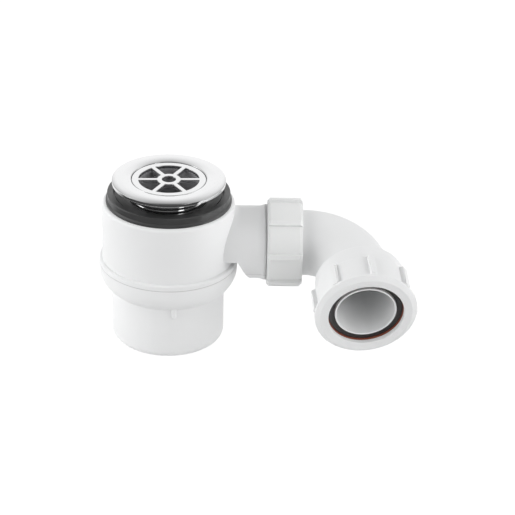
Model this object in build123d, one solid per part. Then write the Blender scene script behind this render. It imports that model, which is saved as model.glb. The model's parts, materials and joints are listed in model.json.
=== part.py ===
from build123d import *
import os
from math import cos, radians, sin, sqrt

# Bottle-type shower trap. Millimetres, +Z up, origin at the middle of the cup's flat foot.
# The outlet leaves along +X, and the elbow turns from there towards -Y.

# Cup and body mouldings
body_radius = 40.9
body_wall = 3.0
body_height = 41.2
body_top_round = 2.4
top_plate = 3.0
ring_step = 1.9
ring_lip = 3.6
ring_round = 1.3
ring_root_round = 0.5
seam_chamfer = 0.3
band_height = 16.9
shoulder_step = 8.0
shoulder_height = 13.6
shoulder_root_round = 0.5
cup_height = 34.6
cup_wall = 3.0
cup_floor = 4.0
foot_round = 5.0
tongue_depth = 3.0
weld_gap = 0.1

# Drive lugs under the cup's shoulder
lug_count = 2
lug_radius = 1.6
lug_stand = 1.8
lug_length = 4.4
lug_turn = -83.0

# Thread between flange and body, without its ridges
tail_thread_radius = 23.9
thread_gap = 0.1
collar_wall = 3.6
collar_depth = 16.5

# Rubber washer under the tray
washer_height = 6.1
washer_top_radius = 37.9
washer_foot_step = 0.9
washer_foot_height = 1.2
washer_rim_width = 3.9
washer_groove_width = 1.5
washer_groove_depth = 2.2
washer_ring_width = 3.5
washer_ring_drop = 1.4
washer_lip_height = 1.8
washer_edge_round = 0.6
washer_bore_gap = 0.4

# Flange, with its threaded tail
tray_gap = 6.2
flange_radius = 35.0
flange_rim = 1.9
flange_rim_round = 0.9
flange_crest_rise = 3.3
flange_crest_radius = 29.6
flange_edge_rise = 2.2
flange_collar_step = 1.0
flange_collar_depth = 3.1
tail_length = 26.0
tail_wall = 2.9
tail_chamfer = 1.2

# Lift-out insert: strainer grid, dip tube and flat seal
grid_seat_step = 2.2
grid_gap = 0.35
grid_sink = 0.1
grid_height = 2.0
grid_ring = 4.15
grid_hub_radius = 7.4
grid_hole_radius = 4.2
spoke_count = 6
spoke_turn = 2.0
spoke_width = 2.8
grid_edge_round = 0.4
leg_count = 3
leg_depth = 4.0
leg_thickness = 1.4
leg_gap = 0.05
dip_collar_height = 1.2
dip_gap = 0.4
dip_wall = 2.0
dip_taper = 1.0
seal_depth = 50.0
insert_seal_height = 0.8

# Outlet neck: half round over the weir, then full round with an outside thread
outlet_rise = 13.2
pipe_radius = 20.2
pipe_wall = 2.4
socket_gap = 0.3
neck_wall = 2.0
neck_ledge = 1.4
weir_drop = 3.4
slope_start = 43.2
slope_run = 8.8
slope_round = 8.0
slope_spare = 0.3
neck_shoulder = 58.8
neck_flare = 3.6
outlet_thread_step = 0.9
neck_end = 76.9
neck_ledge_depth = 19.4
tail_end_gap = 0.5

# Compression joints: seal, slip washer and nut lip, in that order outwards
seat_depth = 2.5
seat_land = 1.6
seal_nose = 2.1
seal_head = 1.6
seal_gap = 0.1
slip_thickness = 1.0
slip_gap = 0.3
face_gap = 0.2
lip_thickness = 2.8

# Union nut
union_nut_back_gap = 2.1
union_nut_wall = 3.4
union_nut_taper = 0.4
union_lip_gap = 0.6
union_rib_height = 2.2
union_rib_width = 3.6
union_end_chamfer = 1.8
union_nut_turn = 37.4

# Elbow, with a threaded socket for the waste pipe
bend_slack = 1.5
bend_radius = 32.95
bend_turn = 83.6
swivel_turn = 104.3
hub_start = 3.6
hub_length = 11.3
hub_step = 1.1
hub_round = 1.0
socket_length = 15.2
waste_pipe_radius = 21.5
waste_pipe_gap = 0.7
socket_wall = 4.2
spigot_wall = 1.0
spigot_stand = 2.6
pocket_floor = 2.0
thread_chamfer = 0.8

# Outlet nut
outlet_nut_back_gap = 0.4
outlet_nut_wall = 2.7
outlet_lip_gap = 1.6
outlet_rib_height = 2.7
outlet_rib_width = 3.8
outlet_rim_height = 3.6
outlet_rim_step = 2.1
face_bevel_height = 1.9
face_bevel_width = 3.2
outlet_nut_turn = 38.0
outlet_slip_show = 0.4

# Both nuts
rib_count = 8
rib_edge_round = 0.5
rib_end_bevel = 1.6
lip_edge_chamfer = 0.4

# Worked-out radii and heights, with each rounding kept inside the step that carries it
lip_round = min(ring_round, 0.7 * ring_step)
lip_root_round = min(ring_root_round, 0.28 * ring_step)
band_root_round = min(shoulder_root_round, 0.1 * shoulder_step)
ring_radius = body_radius + ring_step
cup_radius = ring_radius - shoulder_step
body_bore = body_radius - body_wall
seam_height = cup_height + band_height
shoulder_rise = min(shoulder_height, 0.85 * band_height)
shoulder_radius = (shoulder_rise**2 + shoulder_step**2) / (2 * shoulder_step)
shoulder_top = cup_height + shoulder_rise
body_top = seam_height + body_height
collar_radius = tail_thread_radius + thread_gap
collar_outer = collar_radius + collar_wall
washer_top = body_top + washer_height
flange_seat = washer_top + tray_gap
flange_collar_radius = tail_thread_radius + flange_collar_step
tail_bore = tail_thread_radius - tail_wall
grid_seat_radius = tail_bore + grid_seat_step
grid_top = flange_seat + flange_edge_rise - grid_sink
grid_radius = grid_seat_radius - grid_gap
dip_radius = tail_bore - dip_gap
dip_bore = dip_radius - dip_wall
dip_collar_top = grid_top - grid_height
insert_seat = dip_collar_top - dip_collar_height - insert_seal_height
outlet_height = seam_height + outlet_rise
socket_radius = pipe_radius + socket_gap
neck_radius = socket_radius + neck_wall
neck_bore = socket_radius - neck_ledge
outlet_thread_radius = neck_radius + outlet_thread_step
union_bore = outlet_thread_radius + thread_gap
union_head = outlet_thread_radius - thread_chamfer
weir_height = outlet_height - weir_drop + body_wall
union_nut_back = neck_shoulder + union_nut_back_gap
union_slip_start = neck_end + seal_head + face_gap
union_lip_start = union_slip_start + slip_thickness + face_gap
union_nut_front = union_lip_start + lip_thickness
bend_start = union_nut_front + bend_slack
bore_radius = pipe_radius - pipe_wall
hub_end = hub_start + hub_length
socket_end = hub_end + socket_length
pipe_socket_radius = waste_pipe_radius + waste_pipe_gap
socket_thread_radius = pipe_socket_radius + socket_wall
outlet_bore = socket_thread_radius + thread_gap
outlet_head = socket_thread_radius - thread_chamfer
hub_radius = socket_thread_radius + hub_step
outlet_nut_back = hub_end + outlet_nut_back_gap
outlet_slip_start = socket_end + seal_head + face_gap
outlet_lip_start = outlet_slip_start + slip_thickness + face_gap
outlet_nut_front = outlet_lip_start + lip_thickness
lip_hole_radius = waste_pipe_radius + outlet_lip_gap
outlet_slip_hole = lip_hole_radius - outlet_slip_show

# Frames: outlet axis, elbow's own bend plane, and the elbow's far leg
on_end = (Align.CENTER, Align.CENTER, Align.MIN)
outlet = Plane(origin=(0, 0, outlet_height), x_dir=(0, 0, 1), z_dir=(1, 0, 0)).location
swivel = outlet * Rot(0, 0, swivel_turn)
turn = radians(bend_turn)
leg_origin = (bend_radius * (1 - cos(turn)), 0, bend_start + bend_radius * sin(turn))
leg = Plane(origin=leg_origin, x_dir=(cos(turn), 0, -sin(turn)), z_dir=(sin(turn), 0, cos(turn))).location
far_leg = swivel * leg


def spun(outline, *roundings):
    """Solid of revolution about Z from a closed outline, rounded at each (radius, height, rounding)."""
    face = make_face(outline)
    for radius, height, rounding in roundings:
        vertex = face.vertices().sort_by_distance((radius, height, 0))[0]
        face = fillet(vertex, rounding)
    return revolve(Plane.XZ * face, Axis.Z)


def turned(*corners):
    """Solid of revolution about Z from corners of (radius, height) or (radius, height, rounding)."""
    outline = Polyline(*[corner[:2] for corner in corners], close=True)
    return spun(outline, *[corner for corner in corners if len(corner) == 3])


def flat_ring(inner, outer, low, height):
    """Plain washer about Z."""
    return turned((inner, low), (outer, low), (outer, low + height), (inner, low + height))


def spread(piece, count, start):
    """Copies of a piece, evenly round Z."""
    return [Rot(0, 0, start + 360 / count * index) * piece for index in range(count)]


def make_trap_cup():
    """Lower moulding: flat-footed cup, curved shoulder and the rim that takes the body's tongue."""
    inner = cup_radius - cup_wall
    rim_inner = ring_radius - cup_wall
    inside_drop = sqrt(2 * (shoulder_radius - cup_wall) * shoulder_step - shoulder_step**2)
    rim = (ring_radius, shoulder_top)
    inside_rim = (rim_inner, shoulder_top)
    root = (cup_radius, cup_height)
    inside_root = (inner, shoulder_top - inside_drop)
    outline = Curve() + TangentArc(rim, root, tangent=(0, -1))
    outline += Polyline(root, (cup_radius, 0), (0, 0), (0, cup_floor), (inner, cup_floor), inside_root)
    outline += TangentArc(inside_rim, inside_root, tangent=(0, -1))
    outline += Polyline(
        inside_rim,
        (rim_inner, seam_height),
        (ring_radius - seam_chamfer, seam_height),
        (ring_radius, seam_height - seam_chamfer),
        rim,
    )
    shell = spun(
        outline,
        (cup_radius, 0, foot_round),
        (*root, band_root_round),
        (inner, cup_floor, foot_round - cup_wall),
    )
    lug = Cylinder(lug_radius, lug_length + cup_wall / 2, align=on_end) + Sphere(lug_radius)
    lug = Pos(cup_radius + lug_stand - lug_radius, 0, cup_height - lug_length) * lug
    return shell + spread(lug, lug_count, lug_turn)


def neck_side(inset):
    """Slab with the neck's side outline, drawn in by a wall: level over the weir, then sloping down."""
    spare = neck_radius / 8
    floor = outlet_height - weir_drop
    low = outlet_height - neck_radius - slope_spare
    high = outlet_height + neck_radius + spare + body_wall
    slope_end = slope_start + slope_run * (floor - low) / (neck_radius - weir_drop)
    near = collar_outer + spare - inset
    far = neck_end + spare + inset
    outline = make_face(
        Polyline(
            (near, floor),
            (slope_start, floor),
            (slope_end, low),
            (far, low),
            (far, high),
            (near, high),
            close=True,
        )
    )
    slope_foot = outline.vertices().sort_by_distance((slope_end, low, 0))[0]
    outline = fillet(slope_foot, slope_round)
    if inset:
        outline = offset(outline, -inset)
    return extrude(Plane.XZ * outline, amount=neck_radius, both=True)


def make_trap_body():
    """Upper moulding: threaded collar inside, tongue below, and the outlet neck with its weir."""
    tongue_outer = ring_radius - cup_wall - weld_gap
    tongue_foot = max(seam_height - tongue_depth, shoulder_top)
    lip_top = seam_height + ring_lip
    plate_foot = body_top - top_plate
    shell = turned(
        (body_bore, tongue_foot),
        (tongue_outer, tongue_foot),
        (tongue_outer, seam_height),
        (ring_radius - seam_chamfer, seam_height),
        (ring_radius, seam_height + seam_chamfer),
        (ring_radius, lip_top, lip_round),
        (body_radius, lip_top, lip_root_round),
        (body_radius, body_top, body_top_round),
        (collar_radius, body_top),
        (collar_radius, body_top - collar_depth),
        (collar_outer, body_top - collar_depth),
        (collar_outer, plate_foot),
        (body_bore, plate_foot),
    )
    neck = neck_side(0) & (outlet * Cylinder(neck_radius, neck_end, align=on_end))
    neck -= Pos(0, 0, seam_height) * Cylinder(body_bore, body_height, align=on_end)
    flare_start = (neck_radius, neck_shoulder - neck_flare)
    flare_end = (outlet_thread_radius, neck_shoulder)
    thread_outline = Curve() + TangentArc(flare_start, flare_end, tangent=(0, 1))
    thread_outline += Polyline(
        flare_end,
        (outlet_thread_radius, neck_end - thread_chamfer),
        (union_head, neck_end),
        (neck_bore, neck_end),
        (neck_bore, neck_shoulder - neck_flare),
        flare_start,
    )
    thread = spun(thread_outline)
    waterway = neck_side(body_wall) & (outlet * Cylinder(neck_bore, neck_end + neck_wall, align=on_end))
    ledge = neck_end - neck_ledge_depth
    socket = turned(
        (0, ledge),
        (socket_radius, ledge),
        (socket_radius, neck_end - seat_depth),
        (socket_radius + seat_land, neck_end),
        (0, neck_end),
    )
    return shell + neck + outlet * thread - waterway - outlet * socket


def make_tray_washer():
    """Rubber washer: flared foot, raised outer rim, groove, lower ring and a thin lip round the tail."""
    bore = tail_thread_radius + washer_bore_gap
    foot_radius = washer_top_radius + washer_foot_step
    rim_inner = washer_top_radius - washer_rim_width
    groove_inner = rim_inner - washer_groove_width
    ring_inner = groove_inner - washer_ring_width
    groove_floor = washer_top - washer_groove_depth
    ring_top = washer_top - washer_ring_drop
    lip_top = body_top + washer_lip_height
    return turned(
        (bore, body_top),
        (foot_radius, body_top),
        (foot_radius, body_top + washer_foot_height),
        (washer_top_radius, body_top + washer_foot_height + washer_foot_step),
        (washer_top_radius, washer_top, washer_edge_round),
        (rim_inner, washer_top, washer_edge_round / 2),
        (rim_inner, groove_floor),
        (groove_inner, groove_floor),
        (groove_inner, ring_top),
        (ring_inner, ring_top, washer_edge_round / 2),
        (ring_inner, lip_top),
        (bore, lip_top),
    )


def make_flange():
    """Domed flange in one with its tail; the grid's seat is sunk into its middle."""
    crest = (flange_crest_radius, flange_seat + flange_crest_rise)
    rim_top = (flange_radius, flange_seat + flange_rim)
    inner_edge = (grid_seat_radius, flange_seat + flange_edge_rise)
    tail_foot = flange_seat - tail_length
    collar_foot = flange_seat - flange_collar_depth
    outline = Curve() + ThreePointArc(rim_top, crest, inner_edge)
    outline += Polyline(
        inner_edge,
        (grid_seat_radius, insert_seat),
        (tail_bore, insert_seat),
        (tail_bore, tail_foot),
        (tail_thread_radius - tail_chamfer, tail_foot),
        (tail_thread_radius, tail_foot + tail_chamfer),
        (tail_thread_radius, collar_foot),
        (flange_collar_radius, collar_foot),
        (flange_collar_radius, flange_seat),
        (flange_radius, flange_seat),
        rim_top,
    )
    rim_foot = (flange_radius, flange_seat)
    return spun(outline, (*rim_top, flange_rim_round), (*rim_foot, flange_rim_round))


def make_grid():
    """Strainer: rim, hub and spokes in one plate, with legs that push into the dip tube."""
    window_radius = grid_radius - grid_ring
    plan = Circle(grid_radius) - Circle(window_radius) + Circle(grid_hub_radius)
    spoke = Pos(window_radius / 2, 0) * Rectangle(window_radius + grid_ring / 4, spoke_width)
    plan += spread(spoke, spoke_count, spoke_turn)
    plan -= Circle(grid_hole_radius)
    plate = extrude(plan, grid_height)
    plate = fillet(plate.faces().sort_by(Axis.Z)[-1].edges(), grid_edge_round)
    leg_outer = dip_bore - leg_gap
    leg_form = flat_ring(leg_outer - leg_thickness, leg_outer, -leg_depth, leg_depth)
    leg_form &= Pos(leg_outer, 0, 0) * Box(leg_outer, spoke_width, 2 * leg_depth)
    return Pos(0, 0, dip_collar_top) * (plate + spread(leg_form, leg_count, spoke_turn))


def make_dip_tube():
    """Slightly tapered tube that hangs by its collar and ends the seal depth below the weir."""
    foot = weir_height - seal_depth
    collar_foot = dip_collar_top - dip_collar_height
    return turned(
        (dip_bore, dip_collar_top),
        (grid_radius, dip_collar_top),
        (grid_radius, collar_foot),
        (dip_radius, collar_foot),
        (dip_radius, flange_seat - tail_length),
        (dip_radius - dip_taper, foot),
        (dip_bore - dip_taper, foot),
        (dip_bore, dip_collar_top - leg_depth - dip_wall),
    )


def compression_seal(inner, seat_radius, end, head_radius):
    """Rubber ring with a flat head on the socket's end and a tapered nose in its seat."""
    nose_radius = seat_radius + seat_land * (1 - seal_nose / seat_depth) - seal_gap
    return turned(
        (inner, end - seal_nose),
        (nose_radius, end - seal_nose),
        (seat_radius + seat_land - seal_gap, end),
        (head_radius, end),
        (head_radius, end + seal_head),
        (inner, end + seal_head),
    )


def nut_ribs(wall, height, width, back, front, start):
    """Grip ribs with bevelled ends and rounded tops, standing on a nut's wall."""
    top = wall + height
    root = wall - height
    side = make_face(
        Polyline(
            (root, back),
            (wall, back),
            (top, back + rib_end_bevel),
            (top, front - rib_end_bevel),
            (wall, front),
            (root, front),
            close=True,
        )
    )
    rib = extrude(Plane.XZ * side, amount=width / 2, both=True)
    top_edges = rib.edges().filter_by(Axis.Z).sort_by(Axis.X)[-2:]
    return spread(fillet(top_edges, rib_edge_round), rib_count, start)


def make_union_nut():
    """Nut that draws the elbow's tail into the neck: tapered wall, chamfered ends and ribs."""
    wall = union_bore + union_nut_wall
    front_wall = wall - union_nut_taper
    hole = pipe_radius + union_lip_gap
    nut = turned(
        (union_bore, union_nut_back),
        (wall - union_end_chamfer / 2, union_nut_back),
        (wall, union_nut_back + union_end_chamfer),
        (front_wall, union_nut_front - union_end_chamfer),
        (front_wall - union_end_chamfer / 2, union_nut_front),
        (hole + lip_edge_chamfer, union_nut_front),
        (hole, union_nut_front - lip_edge_chamfer),
        (hole, union_lip_start),
        (union_bore, union_lip_start),
    )
    nut += nut_ribs(front_wall, union_rib_height, union_rib_width, union_nut_back, union_nut_front, 0)
    return outlet * Rot(0, 0, union_nut_turn) * nut


def make_elbow():
    """Swept bend in one with its plain tail and its far socket, hub and inner spigot."""
    wall = Circle(pipe_radius) - Circle(bore_radius)
    tail_start = neck_end - neck_ledge_depth + tail_end_gap
    tail = extrude(Pos(0, 0, tail_start) * wall, bend_start - tail_start)
    bend_axis = Axis((bend_radius, 0, bend_start), (0, 1, 0))
    bend = revolve(Pos(0, 0, bend_start) * wall, bend_axis, bend_turn)
    spigot_radius = bore_radius + spigot_wall
    floor = hub_start + pocket_floor
    socket = turned(
        (bore_radius, 0),
        (pipe_radius, 0),
        (pipe_radius, hub_start),
        (hub_radius, hub_start, hub_round),
        (hub_radius, hub_end),
        (socket_thread_radius, hub_end),
        (socket_thread_radius, socket_end - thread_chamfer),
        (outlet_head, socket_end),
        (pipe_socket_radius + seat_land, socket_end),
        (pipe_socket_radius, socket_end - seat_depth),
        (pipe_socket_radius, floor),
        (spigot_radius, floor),
        (spigot_radius, socket_end + spigot_stand),
        (bore_radius, socket_end + spigot_stand),
    )
    return swivel * (tail + bend + leg * socket)


def make_outlet_nut():
    """Nut for the waste pipe: ribbed wall, smooth front flange, bevelled face and lip."""
    wall = outlet_bore + outlet_nut_wall
    rim = wall + outlet_rim_step
    nut = turned(
        (outlet_bore, outlet_nut_back),
        (wall, outlet_nut_back, rib_edge_round),
        (wall, outlet_nut_front - outlet_rim_height),
        (rim, outlet_nut_front - outlet_rim_height, rib_edge_round),
        (rim, outlet_nut_front - face_bevel_height, rib_edge_round),
        (rim - face_bevel_width, outlet_nut_front),
        (lip_hole_radius + lip_edge_chamfer, outlet_nut_front),
        (lip_hole_radius, outlet_nut_front - lip_edge_chamfer),
        (lip_hole_radius, outlet_lip_start),
        (outlet_bore, outlet_lip_start),
    )
    front = outlet_nut_front - outlet_rim_height + rib_end_bevel
    nut += nut_ribs(wall, outlet_rib_height, outlet_rib_width, outlet_nut_back + face_gap, front, 0)
    return far_leg * Rot(0, 0, outlet_nut_turn) * nut


pieces = {
    "trap_cup": make_trap_cup(),
    "trap_body": make_trap_body(),
    "tray_washer": make_tray_washer(),
    "flange": make_flange(),
    "grid": make_grid(),
    "dip_tube": make_dip_tube(),
    "insert_seal": flat_ring(tail_bore + slip_gap, grid_radius, insert_seat, insert_seal_height),
    "union_seal": outlet
    * compression_seal(pipe_radius + seal_gap, socket_radius, neck_end, union_head),
    "union_slip_washer": outlet
    * flat_ring(pipe_radius + slip_gap, union_bore - slip_gap, union_slip_start, slip_thickness),
    "union_nut": make_union_nut(),
    "elbow": make_elbow(),
    "outlet_seal": far_leg
    * compression_seal(waste_pipe_radius - seal_gap, pipe_socket_radius, socket_end, outlet_head),
    "outlet_slip_washer": far_leg
    * flat_ring(outlet_slip_hole, outlet_bore - slip_gap, outlet_slip_start, slip_thickness),
    "outlet_nut": make_outlet_nut(),
}

os.makedirs("parts", exist_ok=True)
for name, piece in pieces.items():
    export_step(piece, f"parts/{name}.step")
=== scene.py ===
import json
import math

import bpy
from mathutils import Matrix, Vector


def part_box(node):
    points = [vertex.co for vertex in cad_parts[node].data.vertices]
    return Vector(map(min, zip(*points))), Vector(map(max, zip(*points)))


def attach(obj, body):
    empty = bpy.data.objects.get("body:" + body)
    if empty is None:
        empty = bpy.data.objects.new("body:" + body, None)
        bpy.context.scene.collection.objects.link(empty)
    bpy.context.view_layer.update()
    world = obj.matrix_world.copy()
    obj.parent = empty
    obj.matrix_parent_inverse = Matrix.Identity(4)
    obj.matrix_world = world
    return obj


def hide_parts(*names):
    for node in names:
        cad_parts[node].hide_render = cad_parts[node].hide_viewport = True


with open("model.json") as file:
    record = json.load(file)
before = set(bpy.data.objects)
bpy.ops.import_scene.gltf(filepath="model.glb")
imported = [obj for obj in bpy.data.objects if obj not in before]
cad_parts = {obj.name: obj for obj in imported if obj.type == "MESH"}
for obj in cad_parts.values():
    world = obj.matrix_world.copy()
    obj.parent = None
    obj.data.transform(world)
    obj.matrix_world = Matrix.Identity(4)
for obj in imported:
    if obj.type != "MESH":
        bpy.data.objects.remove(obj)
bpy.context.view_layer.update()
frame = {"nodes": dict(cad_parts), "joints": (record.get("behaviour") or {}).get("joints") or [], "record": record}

nodes = frame["nodes"]


def named(rows, name):
    """Joint or mount that has this name."""
    return next(row for row in rows if row["name"] == name)


# Places and sizes that the frame gives, in metres
tail_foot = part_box("flange")[0].z
flange_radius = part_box("flange")[1].x
flange_seat = named(frame["record"]["mounts"], "tray_seat")["pos_m"][2]
seam_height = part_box("trap_cup")[1].z
outlet_height = named(frame["joints"], "union_nut_turn")["pos_m"][2]
union_nut_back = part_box("union_nut")[0].x
neck_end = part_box("trap_body")[1].x

# Flange, with its tail
rim_rise = 0.0019
crest_rise = 0.0033
crest_radius = 0.0296
edge_rise = 0.0022
grid_seat_radius = 0.0232
grid_seat_depth = 0.0019
collar_radius = 0.0249
collar_depth = 0.0031
tail_radius = 0.0239
tail_root_radius = 0.0226
tail_bore = 0.0210

# Screw threads
thread_pitch = 0.002309
ridge_width = 0.94 * thread_pitch

# Tail's ridge, which is sunk into the bare core
tail_ridge_height = 0.0004
tail_ridge_sink = 0.0003
tail_first_crest = 0.0016

# Threads under the two nuts: cut in the material, with crests that stand a little out of the solid
thread_depth = 0.0011
thread_radius_spare = 0.0004
crest_stand = 0.00006
crest_sink = 0.0003
crest_floor = 0.0002
neck_thread_radius = 0.0234
neck_thread_show = 0.0017
neck_thread_from = union_nut_back - neck_thread_show
neck_end_bevel = 0.0007
neck_thread_to = neck_end - neck_end_bevel
socket_thread_radius = 0.0264
socket_thread_from = 0.0152
socket_thread_to = 0.0296

# Elbow's far leg, and the seal in its socket with its lip; places are along the leg
leg_length = 0.0359
spigot_radius = 0.0188
seal_bore = 0.0214
seal_face = 0.0317
lip_sink = 0.0002
lip_gap = 0.0003
lip_setback = 0.0002
lip_slope = 0.0006
lip_tip_thickness = 0.0005
lip_root_thickness = 0.0018

# Fine lines on the white mouldings: painted seam shade and raised mould marks
seam_radius = 0.0415
seam_half_width = 0.00005
seam_fade = 0.0003
neck_start = 0.0425
mould_line_half_width = 0.00018
gate_mark_along = 0.0552
gate_mark_drop = 0.0003
gate_mark_radius = 0.0026
gate_mark_half_width = 0.00022
mark_depth = 0.00004

# Direction, angles and the distance within which points are merged
x_way = Vector((1.0, 0.0, 0.0))
full_turn = 2.0 * math.pi
merge_distance = 1e-6
spun_smooth_angle = math.radians(35.0)
ridge_smooth_angle = math.radians(25.0)


# Node helpers

def math_node(tree, operation, first, second=None):
    """Math node fed by sockets or plain numbers; returns its output."""
    node = tree.nodes.new("ShaderNodeMath")
    node.operation = operation
    for index, value in enumerate((first, second)):
        if value is None:
            continue
        if isinstance(value, (int, float)):
            node.inputs[index].default_value = value
        else:
            tree.links.new(value, node.inputs[index])
    return node.outputs[0]


def split_vector(tree, vector):
    """The three parts of a vector, as sockets."""
    parts = tree.nodes.new("ShaderNodeSeparateXYZ")
    tree.links.new(vector, parts.inputs[0])
    return parts.outputs


def off_axis(tree, first, second):
    """Distance from an axis, from the two parts that lie across it."""
    square = math_node(tree, "MULTIPLY", first, first)
    other_square = math_node(tree, "MULTIPLY", second, second)
    return math_node(tree, "SQRT", math_node(tree, "ADD", square, other_square))


def level_between(tree, value, low, high, low_level=0.0, high_level=1.0):
    """Smooth change from one level to another as a value goes from low to high."""
    node = tree.nodes.new("ShaderNodeMapRange")
    node.interpolation_type = "SMOOTHSTEP"
    tree.links.new(value, node.inputs["Value"])
    node.inputs["From Min"].default_value = low
    node.inputs["From Max"].default_value = high
    node.inputs["To Min"].default_value = low_level
    node.inputs["To Max"].default_value = high_level
    return node.outputs["Result"]


def stepped_level(tree, value, steps):
    """Level that runs in straight lines through pairs of value and level."""
    ramp = tree.nodes.new("ShaderNodeValToRGB")
    tree.links.new(value, ramp.inputs[0])
    marks = ramp.color_ramp.elements
    marks[0].position = steps[0][0]
    marks[1].position = steps[-1][0]
    for step in steps[1:-1]:
        marks.new(step[0])
    for mark, step in zip(marks, steps):
        mark.color = (step[1], step[1], step[1], 1.0)
    return ramp.outputs["Color"]


def mix_shaders(tree, share, first, second):
    """First shader where the share is 0, second where it is 1."""
    node = tree.nodes.new("ShaderNodeMixShader")
    tree.links.new(share, node.inputs[0])
    tree.links.new(first.outputs[0], node.inputs[1])
    tree.links.new(second.outputs[0], node.inputs[2])
    return node


def seen_directly(tree, rays):
    """1 for what the eye sees straight or through something clear."""
    return math_node(tree, "MAXIMUM", rays.outputs["Is Camera Ray"], rays.outputs["Is Transmission Ray"])


# Studio

def photo_camera():
    """Long lens from the photograph's place, with its slight tilt."""
    aim = Vector((0.0554, 0.0, 0.0536))
    distance = 1.6798
    side = math.radians(-0.9)
    rise = math.radians(28.0)
    tilt = math.radians(1.346)
    sensor = 36.0
    focal_pixels = 2700.0
    photo_pixels = 515.0
    back = Vector((math.sin(side) * math.cos(rise), -math.cos(side) * math.cos(rise), math.sin(rise)))
    level_right = Vector((math.cos(side), math.sin(side), 0.0))
    level_up = back.cross(level_right)
    right = level_right * math.cos(tilt) + level_up * math.sin(tilt)
    up = level_up * math.cos(tilt) - level_right * math.sin(tilt)
    turn = Matrix((right, up, back)).transposed().to_4x4()
    bpy.ops.object.camera_add()
    camera = bpy.context.object
    camera.name = "photo_camera"
    camera.matrix_world = Matrix.Translation(aim + back * distance) @ turn
    camera.data.sensor_width = sensor
    camera.data.lens = sensor * focal_pixels / photo_pixels
    camera.data.clip_end = 20.0
    bpy.context.scene.camera = camera


def soft_box(name, place):
    """Tall soft lamp turned towards the trap."""
    aim = Vector((0.0, 0.0, 0.10))
    bpy.ops.object.light_add(type="AREA", location=place)
    lamp = bpy.context.object
    lamp.name = name
    lamp.rotation_euler = (aim - Vector(place)).to_track_quat("-Z", "Y").to_euler()
    lamp.data.shape = "RECTANGLE"
    lamp.data.size = 0.36
    lamp.data.size_y = 1.0
    lamp.data.energy = 1.5


def soft_wall(tree, direction, towards, level):
    """Light from one broad soft wall, fading away from its middle."""
    wall_edge = 0.62
    nearness = tree.nodes.new("ShaderNodeVectorMath")
    nearness.operation = "DOT_PRODUCT"
    tree.links.new(direction, nearness.inputs[0])
    nearness.inputs[1].default_value = towards
    return level_between(tree, nearness.outputs["Value"], wall_edge, 1.0, high_level=level)


def tent_level(tree, direction):
    """Light from the tent by direction: bright walls left and right, a dimmer backdrop and roof."""
    across, up = split_vector(tree, direction)[1:]
    left = soft_wall(tree, direction, (-0.935, -0.207, 0.290), 2.72)
    right = soft_wall(tree, direction, (0.912, -0.290, 0.290), 2.66)
    backdrop = level_between(tree, across, 0.0, 0.8, high_level=0.62)
    roof = level_between(tree, up, 0.5, 1.0, high_level=0.26)
    walls = math_node(tree, "ADD", left, right)
    return math_node(tree, "ADD", walls, math_node(tree, "ADD", backdrop, roof))


def mirror_level(tree, direction):
    """What bright metal sees: white walls under a dark roof, and in front a room that is dark low down."""
    along, across, up = split_vector(tree, direction)
    white_wall = ((0.44, 1.0), (0.60, 0.93), (0.73, 0.80))
    dark_roof = ((0.835, 0.62), (0.917, 0.45), (0.968, 0.20), (0.99, 0.08))
    walls = stepped_level(tree, up, white_wall + dark_roof)
    room = stepped_level(tree, up, ((0.42, 0.05), (0.60, 0.36), (0.80, 0.36), (0.92, 0.06)))
    aside = level_between(tree, math_node(tree, "ABSOLUTE", along), 0.22, 0.60, high_level=0.5)
    corner = math_node(tree, "MULTIPLY", aside, level_between(tree, across, 0.2, 0.6))
    behind = math_node(tree, "MULTIPLY", walls, math_node(tree, "SUBTRACT", 1.0, corner))
    share = level_between(tree, across, -0.15, 0.10)
    from_behind = math_node(tree, "MULTIPLY", behind, share)
    from_front = math_node(tree, "MULTIPLY", room, math_node(tree, "SUBTRACT", 1.0, share))
    return math_node(tree, "ADD", from_behind, from_front)


def studio_world():
    """Light tent: plain white to the eye, with its own levels for the light it gives and for mirrors."""
    world = bpy.data.worlds.new("studio_surround")
    bpy.context.scene.world = world
    world.use_nodes = True
    tree = world.node_tree
    tree.nodes.clear()
    rays = tree.nodes.new("ShaderNodeLightPath")
    direction = tree.nodes.new("ShaderNodeTexCoord").outputs["Generated"]
    light = tree.nodes.new("ShaderNodeBackground")
    mirror = tree.nodes.new("ShaderNodeBackground")
    view = tree.nodes.new("ShaderNodeBackground")
    for background in (light, mirror, view):
        background.inputs["Color"].default_value = (1.0, 1.0, 1.0, 1.0)
    tree.links.new(tent_level(tree, direction), light.inputs["Strength"])
    tree.links.new(mirror_level(tree, direction), mirror.inputs["Strength"])
    unseen = mix_shaders(tree, rays.outputs["Is Glossy Ray"], light, mirror)
    surround = mix_shaders(tree, seen_directly(tree, rays), unseen, view)
    out = tree.nodes.new("ShaderNodeOutputWorld")
    tree.links.new(surround.outputs[0], out.inputs["Surface"])


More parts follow.
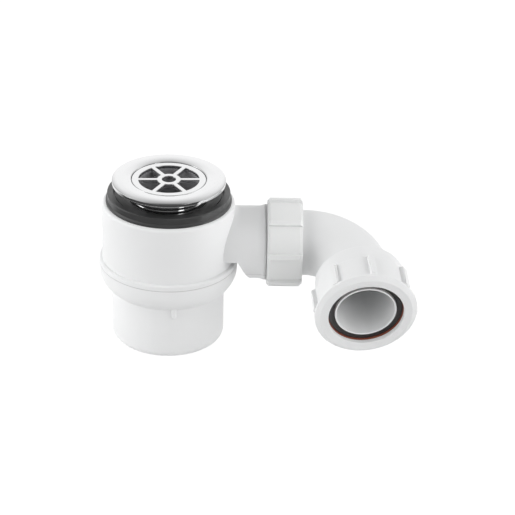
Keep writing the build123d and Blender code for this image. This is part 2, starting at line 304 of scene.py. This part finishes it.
def floor_paper():
    """Pale paper that keeps a faint shadow; mirrors see a sheet that ends a little way in front."""
    sheet_end = 0.12
    room_start = 0.18
    backdrop_start = 0.15
    sheet_level = 0.95
    room_level = 0.06
    glow_share = 0.88
    paper = bpy.data.materials.new("floor_paper")
    paper.use_nodes = True
    tree = paper.node_tree
    tree.nodes.clear()
    rays = tree.nodes.new("ShaderNodeLightPath")
    place = tree.nodes.new("ShaderNodeTexCoord").outputs["Object"]
    across = split_vector(tree, place)[1]
    matt = tree.nodes.new("ShaderNodeBsdfDiffuse")
    matt.inputs["Color"].default_value = (0.80, 0.80, 0.80, 1.0)
    reach = tree.nodes.new("ShaderNodeVectorMath")
    reach.operation = "LENGTH"
    tree.links.new(place, reach.inputs[0])
    near = level_between(tree, reach.outputs["Value"], sheet_end, room_start, sheet_level, room_level)
    behind = level_between(tree, across, 0.0, backdrop_start, room_level, sheet_level)
    mirror = tree.nodes.new("ShaderNodeEmission")
    tree.links.new(math_node(tree, "MAXIMUM", near, behind), mirror.inputs["Strength"])
    glow = tree.nodes.new("ShaderNodeEmission")
    glow.inputs["Strength"].default_value = 1.12
    unseen = mix_shaders(tree, rays.outputs["Is Glossy Ray"], matt, mirror)
    share = math_node(tree, "MULTIPLY", seen_directly(tree, rays), glow_share)
    surface = mix_shaders(tree, share, unseen, glow)
    out = tree.nodes.new("ShaderNodeOutputMaterial")
    tree.links.new(surface.outputs[0], out.inputs["Surface"])
    return paper


def studio_floor():
    """Wide flat floor, a hair below the cup's foot."""
    floor_size = 8.0
    floor_drop = 0.0002
    bpy.ops.object.select_all(action="DESELECT")
    bpy.ops.mesh.primitive_plane_add(size=floor_size, location=(0.0, 0.0, -floor_drop))
    floor = bpy.context.object
    floor.name = "studio_floor"
    bpy.ops.object.transform_apply(location=True, rotation=True, scale=True)
    floor.data.materials.append(floor_paper())


# Shared surface effects, as node groups

def new_group(name, inputs, outputs):
    """Empty shader group with float, colour or vector sockets."""
    group = bpy.data.node_groups.new(name, "ShaderNodeTree")
    for label, kind, value in inputs:
        socket = group.interface.new_socket(label, in_out="INPUT", socket_type=kind)
        socket.default_value = value
    for label, kind in outputs:
        group.interface.new_socket(label, in_out="OUTPUT", socket_type=kind)
    return group, group.nodes.new("NodeGroupInput"), group.nodes.new("NodeGroupOutput")


def moulded_skin_group():
    """Cloudy tone, uneven sheen and fine grain of a moulded or plated surface."""
    group, given, result = new_group(
        "moulded_skin",
        [
            ("Light Colour", "NodeSocketColor", (0.9, 0.9, 0.9, 1.0)),
            ("Dark Colour", "NodeSocketColor", (0.8, 0.8, 0.8, 1.0)),
            ("Cloud Scale", "NodeSocketFloat", 45.0),
            ("Sheen From", "NodeSocketFloat", 0.3),
            ("Sheen To", "NodeSocketFloat", 0.4),
            ("Grain Scale", "NodeSocketFloat", 2500.0),
        ],
        [("Colour", "NodeSocketColor"), ("Roughness", "NodeSocketFloat"), ("Grain", "NodeSocketFloat")],
    )
    place = group.nodes.new("ShaderNodeTexCoord")
    cloud = group.nodes.new("ShaderNodeTexNoise")
    cloud.inputs["Detail"].default_value = 3.0
    group.links.new(place.outputs["Object"], cloud.inputs["Vector"])
    group.links.new(given.outputs["Cloud Scale"], cloud.inputs["Scale"])
    tone = group.nodes.new("ShaderNodeMix")
    tone.data_type = "RGBA"
    group.links.new(cloud.outputs["Fac"], tone.inputs["Factor"])
    group.links.new(given.outputs["Dark Colour"], tone.inputs["A"])
    group.links.new(given.outputs["Light Colour"], tone.inputs["B"])
    grain = group.nodes.new("ShaderNodeTexNoise")
    grain.inputs["Detail"].default_value = 2.0
    group.links.new(place.outputs["Object"], grain.inputs["Vector"])
    group.links.new(given.outputs["Grain Scale"], grain.inputs["Scale"])
    sheen = group.nodes.new("ShaderNodeMapRange")
    group.links.new(cloud.outputs["Fac"], sheen.inputs["Value"])
    sheen.inputs["From Min"].default_value = 0.3
    sheen.inputs["From Max"].default_value = 0.7
    group.links.new(given.outputs["Sheen From"], sheen.inputs["To Min"])
    group.links.new(given.outputs["Sheen To"], sheen.inputs["To Max"])
    group.links.new(tone.outputs["Result"], result.inputs["Colour"])
    group.links.new(sheen.outputs["Result"], result.inputs["Roughness"])
    group.links.new(grain.outputs["Fac"], result.inputs["Grain"])
    return group


def screw_thread_group():
    """Height of a screw thread cut along X, between two ends and outside a radius."""
    group, given, result = new_group(
        "screw_thread",
        [
            ("Place", "NodeSocketVector", (0.0, 0.0, 0.0)),
            ("Pitch", "NodeSocketFloat", thread_pitch),
            ("From", "NodeSocketFloat", 0.0),
            ("To", "NodeSocketFloat", 0.01),
            ("Least Radius", "NodeSocketFloat", 0.02),
        ],
        [("Height", "NodeSocketFloat")],
    )
    along, across, up = split_vector(group, given.outputs["Place"])
    turn = math_node(group, "DIVIDE", math_node(group, "ARCTAN2", up, across), full_turn)
    count = math_node(group, "SUBTRACT", math_node(group, "DIVIDE", along, given.outputs["Pitch"]), turn)
    ridge = math_node(group, "MULTIPLY", math_node(group, "PINGPONG", count, 0.5), 2.0)
    radius = off_axis(group, across, up)
    outside = math_node(group, "GREATER_THAN", radius, given.outputs["Least Radius"])
    after = math_node(group, "GREATER_THAN", along, given.outputs["From"])
    before = math_node(group, "LESS_THAN", along, given.outputs["To"])
    inside = math_node(group, "MULTIPLY", math_node(group, "MULTIPLY", after, before), outside)
    group.links.new(math_node(group, "MULTIPLY", ridge, inside), result.inputs["Height"])
    return group


moulded_skin = moulded_skin_group()
screw_thread = screw_thread_group()


# Materials

def shader_of(material):
    """Principled shader of a material."""
    return material.node_tree.nodes["Principled BSDF"]


def lay_bump(material, height, depth):
    """Lays a bump of this depth over the normal that the material already has."""
    tree = material.node_tree
    normal = shader_of(material).inputs["Normal"]
    bump = tree.nodes.new("ShaderNodeBump")
    bump.inputs["Distance"].default_value = depth
    bump.inputs["Strength"].default_value = 1.0
    tree.links.new(height, bump.inputs["Height"])
    if normal.is_linked:
        tree.links.new(normal.links[0].from_socket, bump.inputs["Normal"])
    tree.links.new(bump.outputs["Normal"], normal)


def skin_material(name, light, dark, clouds, sheen, grain_scale, grain_depth):
    """Material on the shared skin, with its own tones, sheen and grain."""
    material = bpy.data.materials.new(name)
    material.use_nodes = True
    tree = material.node_tree
    shader = shader_of(material)
    skin = tree.nodes.new("ShaderNodeGroup")
    skin.node_tree = moulded_skin
    skin.inputs["Light Colour"].default_value = (*light, 1.0)
    skin.inputs["Dark Colour"].default_value = (*dark, 1.0)
    skin.inputs["Cloud Scale"].default_value = clouds
    skin.inputs["Sheen From"].default_value = sheen[0]
    skin.inputs["Sheen To"].default_value = sheen[1]
    skin.inputs["Grain Scale"].default_value = grain_scale
    tree.links.new(skin.outputs["Colour"], shader.inputs["Base Color"])
    tree.links.new(skin.outputs["Roughness"], shader.inputs["Roughness"])
    lay_bump(material, skin.outputs["Grain"], grain_depth)
    return material


def white_plastic(name, light=(0.87, 0.875, 0.875), dark=(0.84, 0.845, 0.85)):
    """Satin white moulding."""
    material = skin_material(
        name, light, dark, clouds=38.0, sheen=(0.30, 0.40), grain_scale=2600.0, grain_depth=0.000012
    )
    shader = shader_of(material)
    shader.inputs["IOR"].default_value = 1.49
    shader.inputs["Specular IOR Level"].default_value = 0.45
    return material


def add_thread(material, place, radius, start, end):
    """Cuts a screw thread along the X of the given place socket."""
    tree = material.node_tree
    thread = tree.nodes.new("ShaderNodeGroup")
    thread.node_tree = screw_thread
    thread.inputs["Pitch"].default_value = thread_pitch
    thread.inputs["From"].default_value = start
    thread.inputs["To"].default_value = end
    thread.inputs["Least Radius"].default_value = radius - thread_radius_spare
    tree.links.new(place, thread.inputs["Place"])
    lay_bump(material, thread.outputs["Height"], thread_depth)


def paint_seam_shade(material):
    """Paints shade into the fine groove where the cup is joined to the body, as grey mixed into the base colour
    along the seam.
    """
    tree = material.node_tree
    base_colour = shader_of(material).inputs["Base Color"]
    place = tree.nodes.new("ShaderNodeTexCoord")
    along, across, up = split_vector(tree, place.outputs["Object"])
    off_line = math_node(tree, "ABSOLUTE", math_node(tree, "ADD", up, -seam_height))
    outside = math_node(tree, "GREATER_THAN", off_axis(tree, along, across), seam_radius)
    # painted shade: along the seam groove the base colour is mixed towards grey, fading out away from the line
    fade = level_between(tree, off_line, seam_half_width, seam_fade, 1.0, 0.0)
    shade = tree.nodes.new("ShaderNodeMix")
    shade.data_type = "RGBA"
    shade.inputs["B"].default_value = (0.55, 0.55, 0.55, 1.0)
    tree.links.new(math_node(tree, "MULTIPLY", fade, outside), shade.inputs["Factor"])
    tree.links.new(base_colour.links[0].from_socket, shade.inputs["A"])
    tree.links.new(shade.outputs["Result"], base_colour)


def add_mould_marks(material, place):
    """Raises the mould line along the neck and the round gate mark on its near side."""
    tree = material.node_tree
    along, across, up = split_vector(tree, place)
    on_line = math_node(tree, "LESS_THAN", math_node(tree, "ABSOLUTE", across), mould_line_half_width)
    line = math_node(tree, "MULTIPLY", on_line, math_node(tree, "GREATER_THAN", along, neck_start))
    past_mark = math_node(tree, "ADD", along, -gate_mark_along)
    above_mark = math_node(tree, "ADD", up, gate_mark_drop)
    off_ring = math_node(tree, "ADD", off_axis(tree, past_mark, above_mark), -gate_mark_radius)
    on_ring = math_node(tree, "LESS_THAN", math_node(tree, "ABSOLUTE", off_ring), gate_mark_half_width)
    ring = math_node(tree, "MULTIPLY", on_ring, math_node(tree, "LESS_THAN", across, 0.0))
    lay_bump(material, math_node(tree, "MAXIMUM", line, ring), mark_depth)


def body_plastic():
    """White plastic of the body: neck thread, mould marks and its half of the painted seam shade."""
    material = white_plastic("body_plastic")
    tree = material.node_tree
    place = tree.nodes.new("ShaderNodeTexCoord")
    centred = tree.nodes.new("ShaderNodeMapping")
    centred.inputs["Location"].default_value = (0.0, 0.0, -outlet_height)
    tree.links.new(place.outputs["Object"], centred.inputs["Vector"])
    neck_place = centred.outputs["Vector"]
    add_thread(material, neck_place, neck_thread_radius, neck_thread_from, neck_thread_to)
    add_mould_marks(material, neck_place)
    paint_seam_shade(material)
    return material


def cup_plastic():
    """White plastic of the cup, with its half of the painted seam shade."""
    material = white_plastic("cup_plastic")
    paint_seam_shade(material)
    return material


def elbow_leg():
    """Start and direction of the elbow's straight far leg, from the joint of the nut on its end."""
    joint = named(frame["joints"], "outlet_nut_turn")
    way = Vector(joint["axis"]).normalized()
    return Vector(joint["pos_m"]) - way * leg_length, way


def elbow_plastic():
    """White plastic of the elbow, with the thread of its far socket."""
    material = white_plastic("elbow_plastic")
    tree = material.node_tree
    start, way = elbow_leg()
    turn = way.rotation_difference(x_way)
    place = tree.nodes.new("ShaderNodeTexCoord")
    turned = tree.nodes.new("ShaderNodeMapping")
    turned.inputs["Rotation"].default_value = turn.to_euler()
    turned.inputs["Location"].default_value = -(turn @ start)
    tree.links.new(place.outputs["Object"], turned.inputs["Vector"])
    leg_place = turned.outputs["Vector"]
    add_thread(material, leg_place, socket_thread_radius, socket_thread_from, socket_thread_to)
    return material


def mirror_chrome(name, sheen):
    """Mirror plating with a trace of unevenness."""
    light = (0.92, 0.92, 0.925)
    dark = (0.86, 0.865, 0.87)
    material = skin_material(
        name, light, dark, clouds=60.0, sheen=sheen, grain_scale=1800.0, grain_depth=0.0000012
    )
    shader_of(material).inputs["Metallic"].default_value = 1.0
    return material


def black_rubber(name, light, dark):
    """Moulded rubber with a greyish bloom."""
    material = skin_material(
        name, light, dark, clouds=90.0, sheen=(0.32, 0.45), grain_scale=1500.0, grain_depth=0.00002
    )
    shader = shader_of(material)
    shader.inputs["IOR"].default_value = 1.6
    shader.inputs["Specular IOR Level"].default_value = 1.0
    return material


def dark_plastic():
    """Matt grey plastic of the dip tube."""
    light = (0.38, 0.38, 0.39)
    dark = (0.31, 0.31, 0.32)
    sheen = (0.42, 0.55)
    return skin_material(
        "dark_plastic", light, dark, clouds=70.0, sheen=sheen, grain_scale=2000.0, grain_depth=0.00001
    )


def red_plastic():
    """Red-brown slip rings."""
    light = (0.33, 0.095, 0.055)
    dark = (0.25, 0.07, 0.04)
    sheen = (0.35, 0.5)
    return skin_material(
        "red_plastic", light, dark, clouds=120.0, sheen=sheen, grain_scale=2200.0, grain_depth=0.00001
    )


# Ways of shaping the added pieces

def draw_outline(name, points):
    """Chain of edges in the XZ plane, extruded point by point from a merged plane."""
    plane_size = 0.001
    bpy.ops.object.select_all(action="DESELECT")
    bpy.ops.mesh.primitive_plane_add(size=plane_size, location=(0.0, 0.0, 0.0))
    piece = bpy.context.object
    piece.name = name
    piece.data.name = name
    bpy.ops.object.mode_set(mode="EDIT")
    bpy.ops.mesh.select_mode(type="VERT")
    bpy.ops.mesh.select_all(action="SELECT")
    bpy.ops.mesh.merge(type="CENTER")
    bpy.ops.transform.translate(value=(points[0][0], 0.0, points[0][1]))
    for before, after in zip(points, points[1:]):
        step = (after[0] - before[0], 0.0, after[1] - before[1])
        bpy.ops.mesh.extrude_region_move(TRANSFORM_OT_translate={"value": step})
    bpy.ops.mesh.select_all(action="SELECT")
    bpy.ops.mesh.remove_doubles(threshold=merge_distance)
    bpy.ops.object.mode_set(mode="OBJECT")
    return piece


def spin_round(steps):
    """Spins the outline just drawn once round Z, into a closed ring."""
    bpy.ops.object.mode_set(mode="EDIT")
    bpy.ops.mesh.select_all(action="SELECT")
    bpy.ops.mesh.spin(steps=steps, angle=full_turn, center=(0.0, 0.0, 0.0), axis=(0.0, 0.0, 1.0))
    bpy.ops.mesh.select_all(action="SELECT")
    bpy.ops.mesh.remove_doubles(threshold=merge_distance)
    bpy.ops.mesh.normals_make_consistent(inside=False)
    bpy.ops.object.mode_set(mode="OBJECT")


def round_rings(piece, test, width, segments):
    """Rounds the level edges whose two ends pass a test of their radius and height."""
    bpy.ops.object.mode_set(mode="EDIT")
    bpy.ops.mesh.select_mode(type="EDGE")
    bpy.ops.mesh.select_all(action="DESELECT")
    bpy.ops.object.mode_set(mode="OBJECT")
    corners = piece.data.vertices
    for edge in piece.data.edges:
        ends = [corners[index].co for index in edge.vertices]
        level = abs(ends[0].z - ends[1].z) < merge_distance
        edge.select = level and all(test(math.hypot(end.x, end.y), end.z) for end in ends)
    bpy.ops.object.mode_set(mode="EDIT")
    bpy.ops.mesh.bevel(offset=width, segments=segments, affect="EDGES")
    bpy.ops.object.mode_set(mode="OBJECT")


def thread_ridge(name, inside, root, crest, low, high):
    """Helical ridge round Z between two heights, screwed up from one closed profile."""
    profile_steps = 12
    turn_steps = 96
    middle = (crest + root) / 2.0
    swing = (crest - root) / 2.0
    points = [(inside, low - ridge_width / 2.0)]
    for index in range(profile_steps + 1):
        share = index / profile_steps - 0.5
        points.append((middle + swing * math.cos(full_turn * share), low + ridge_width * share))
    points += [(inside, low + ridge_width / 2.0), points[0]]
    piece = draw_outline(name, points)
    screw = piece.modifiers.new("screw", "SCREW")
    screw.axis = "Z"
    screw.angle = full_turn
    screw.screw_offset = thread_pitch
    screw.iterations = int((high - low - ridge_width / 2.0) / thread_pitch)
    screw.steps = turn_steps
    screw.render_steps = turn_steps
    screw.use_smooth_shade = True
    bpy.ops.object.modifier_apply(modifier="screw")
    bpy.ops.object.mode_set(mode="EDIT")
    bpy.ops.mesh.select_all(action="SELECT")
    bpy.ops.mesh.remove_doubles(threshold=merge_distance)
    bpy.ops.mesh.select_all(action="SELECT")
    bpy.ops.mesh.fill_holes(sides=0)
    bpy.ops.mesh.select_all(action="SELECT")
    bpy.ops.mesh.normals_make_consistent(inside=False)
    bpy.ops.object.mode_set(mode="OBJECT")
    bpy.ops.object.shade_smooth_by_angle(angle=ridge_smooth_angle)
    return piece


def lay_along(piece, start, way):
    """Moves a piece made round Z onto another axis, with its X side where that axis's thread starts."""
    onto_x = Matrix(((0.0, 0.0, 1.0), (1.0, 0.0, 0.0), (0.0, 1.0, 0.0)))
    turn = x_way.rotation_difference(way).to_matrix()
    piece.matrix_world = Matrix.Translation(start) @ (turn @ onto_x).to_4x4()
    bpy.ops.object.transform_apply(location=True, rotation=True, scale=True)


# Added pieces

def flange_dome():
    """Points of the flange's domed top, from its rim in to the grid's seat."""
    steps = 14
    bulge = crest_rise - (rim_rise + edge_rise) / 2.0
    points = []
    for index in range(steps + 1):
        share = index / steps
        radius = flange_radius + (grid_seat_radius - flange_radius) * share
        chord = rim_rise + (edge_rise - rim_rise) * share
        reach = (radius - crest_radius) / (flange_radius - crest_radius)
        if radius < crest_radius:
            reach = (crest_radius - radius) / (crest_radius - grid_seat_radius)
        points.append((radius, flange_seat + chord + bulge * (1.0 - reach * reach)))
    return points


def bright_flange():
    """Domed flange spun from its outline, with rounded rim and a bare tail for the thread."""
    touch = 1e-5
    tail_chamfer_width = 0.0004
    tail_chamfer_height = 0.0006
    dome = flange_dome()
    seat_floor = flange_seat - grid_seat_depth
    collar_foot = flange_seat - collar_depth
    points = dome + [
        (grid_seat_radius, seat_floor),
        (tail_bore, seat_floor),
        (tail_bore, tail_foot),
        (tail_root_radius - tail_chamfer_width, tail_foot),
        (tail_root_radius, tail_foot + tail_chamfer_height),
        (tail_root_radius, collar_foot),
        (collar_radius, collar_foot),
        (collar_radius, flange_seat),
        (flange_radius, flange_seat),
        dome[0],
    ]
    piece = draw_outline("bright_flange", points)
    spin_round(steps=128)

    def on_rim(radius, height):
        return radius > flange_radius - touch

    def on_seat_edge(radius, height):
        return abs(radius - grid_seat_radius) < touch and height > flange_seat

    def on_collar_foot(radius, height):
        return abs(radius - collar_radius) < touch and height < flange_seat - collar_depth / 2.0

    round_rings(piece, on_rim, width=0.00012, segments=3)
    round_rings(piece, on_seat_edge, width=0.00035, segments=4)
    round_rings(piece, on_collar_foot, width=0.0003, segments=3)
    bpy.ops.object.shade_smooth_by_angle(angle=spun_smooth_angle)
    return piece


def tail_thread():
    """Thread on the flange's tail, rooted in its bare core."""
    inside = tail_root_radius - tail_ridge_sink
    root = tail_radius - tail_ridge_height
    first_crest = tail_foot + tail_first_crest
    return thread_ridge("tail_thread", inside, root, tail_radius, first_crest, flange_seat - collar_depth)


def nut_thread(name, radius, span, start, way):
    """Thread crests for a nut, in step with the thread in the material and just clear of the nut's bore."""
    root = radius - crest_sink
    turns_before = math.floor(span[0] / thread_pitch) + 1
    first_crest = thread_pitch * (turns_before + 0.5)
    piece = thread_ridge(name, root - crest_floor, root, radius + crest_stand, first_crest, span[1])
    lay_along(piece, start, way)
    return piece


def neck_thread():
    """Thread crests of the outlet neck."""
    start = Vector((0.0, 0.0, outlet_height))
    span = (neck_thread_from, neck_thread_to)
    return nut_thread("neck_thread", neck_thread_radius, span, start, x_way)


def socket_thread():
    """Thread crests of the elbow's far socket."""
    start, way = elbow_leg()
    span = (socket_thread_from, socket_thread_to)
    return nut_thread("socket_thread", socket_thread_radius, span, start, way)


def seal_lip():
    """Thin rubber lip inside the outlet seal, which reaches inwards to grip the waste pipe."""
    root = seal_bore + lip_sink
    tip = spigot_radius + lip_gap
    root_front = seal_face - lip_setback
    tip_front = root_front - lip_slope
    points = [
        (root, root_front),
        (tip, tip_front),
        (tip, tip_front - lip_tip_thickness),
        (root, root_front - lip_root_thickness),
    ]
    piece = draw_outline("seal_lip", points + points[:1])
    spin_round(steps=96)
    bpy.ops.object.shade_smooth_by_angle(angle=spun_smooth_angle)
    lay_along(piece, *elbow_leg())
    return piece


# Dressing

photo_camera()
studio_world()
studio_floor()
soft_box("left_soft_box", (-1.42, -0.16, 0.57))
soft_box("right_soft_box", (0.86, -1.12, 0.60))

plain_white = white_plastic("white_plastic")
milky_white = white_plastic("milky_plastic", (0.86, 0.868, 0.862), (0.83, 0.838, 0.835))
washer_rubber = black_rubber("washer_rubber", (0.032, 0.033, 0.033), (0.025, 0.026, 0.026))
seal_rubber = black_rubber("seal_rubber", (0.030, 0.028, 0.028), (0.022, 0.021, 0.021))
slip_red = red_plastic()
flange_chrome = mirror_chrome("flange_chrome", (0.05, 0.09))
grid_chrome = mirror_chrome("grid_chrome", (0.08, 0.14))
thread_chrome = mirror_chrome("thread_chrome", (0.09, 0.13))

for node, material in (
    ("trap_cup", cup_plastic()),
    ("trap_body", body_plastic()),
    ("tray_washer", washer_rubber),
    ("grid", grid_chrome),
    ("dip_tube", dark_plastic()),
    ("insert_seal", seal_rubber),
    ("union_seal", seal_rubber),
    ("union_slip_washer", slip_red),
    ("union_nut", milky_white),
    ("elbow", elbow_plastic()),
    ("outlet_seal", seal_rubber),
    ("outlet_slip_washer", slip_red),
    ("outlet_nut", plain_white),
):
    slots = nodes[node].data.materials
    slots.clear()
    slots.append(material)

flange_piece = bright_flange()
for piece, material, body, slot in (
    (flange_piece, flange_chrome, "flange", "bright_metal"),
    (neck_thread(), plain_white, "housing", "white_plastic"),
    (socket_thread(), plain_white, "elbow", "white_plastic"),
    (tail_thread(), thread_chrome, "flange", "bright_metal"),
    (seal_lip(), seal_rubber, "elbow", "black_rubber"),
):
    piece.data.materials.append(material)
    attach(piece, body)
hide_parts("flange")

bpy.context.scene.view_settings.view_transform = "Standard"
